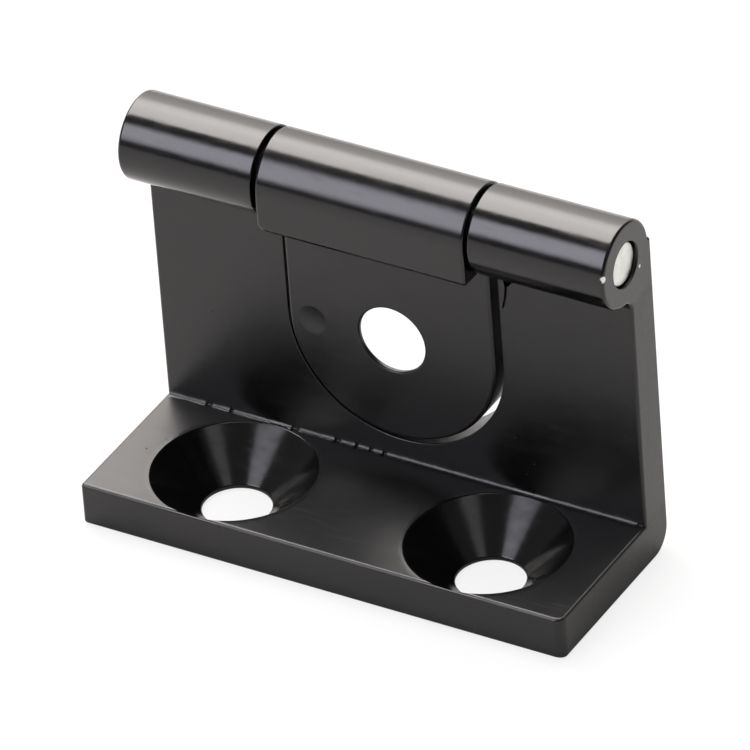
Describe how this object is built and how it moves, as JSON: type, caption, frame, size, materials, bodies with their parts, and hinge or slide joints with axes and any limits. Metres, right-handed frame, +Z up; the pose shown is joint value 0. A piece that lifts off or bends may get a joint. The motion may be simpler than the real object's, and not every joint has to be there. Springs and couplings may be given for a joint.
{
  "type": "t hinge",
  "caption": "Black die-cast hinge: an angle leaf with a countersunk foot, a round-ended tongue leaf that swings in a window in its upright plate, and a plain steel pin.",
  "frame": {"origin": "On the plane that the foot stands on, under the middle of the bounding box", "axes": "+X along the pin, +Y from the foot's front edge to the plate's back, +Z up from the foot to the pin"},
  "size_m": [0.05, 0.0196, 0.0377],
  "materials": {
    "black_paint": "semi-gloss black paint over a zinc casting",
    "pin_steel": "bright plain steel"
  },
  "bodies": {
    "angle_leaf": {"angle_leaf": "black_paint", "hinge_pin": "pin_steel"},
    "tongue_leaf": {"tongue_leaf": "black_paint"}
  },
  "joints": [
    {"name": "tongue_swing", "type": "hinge", "parent": "angle_leaf", "child": "tongue_leaf", "pos_m": [0, 0.00524, 0.0335], "axis": [-1, 0, 0], "range_deg": [0, 270]}
  ]
}
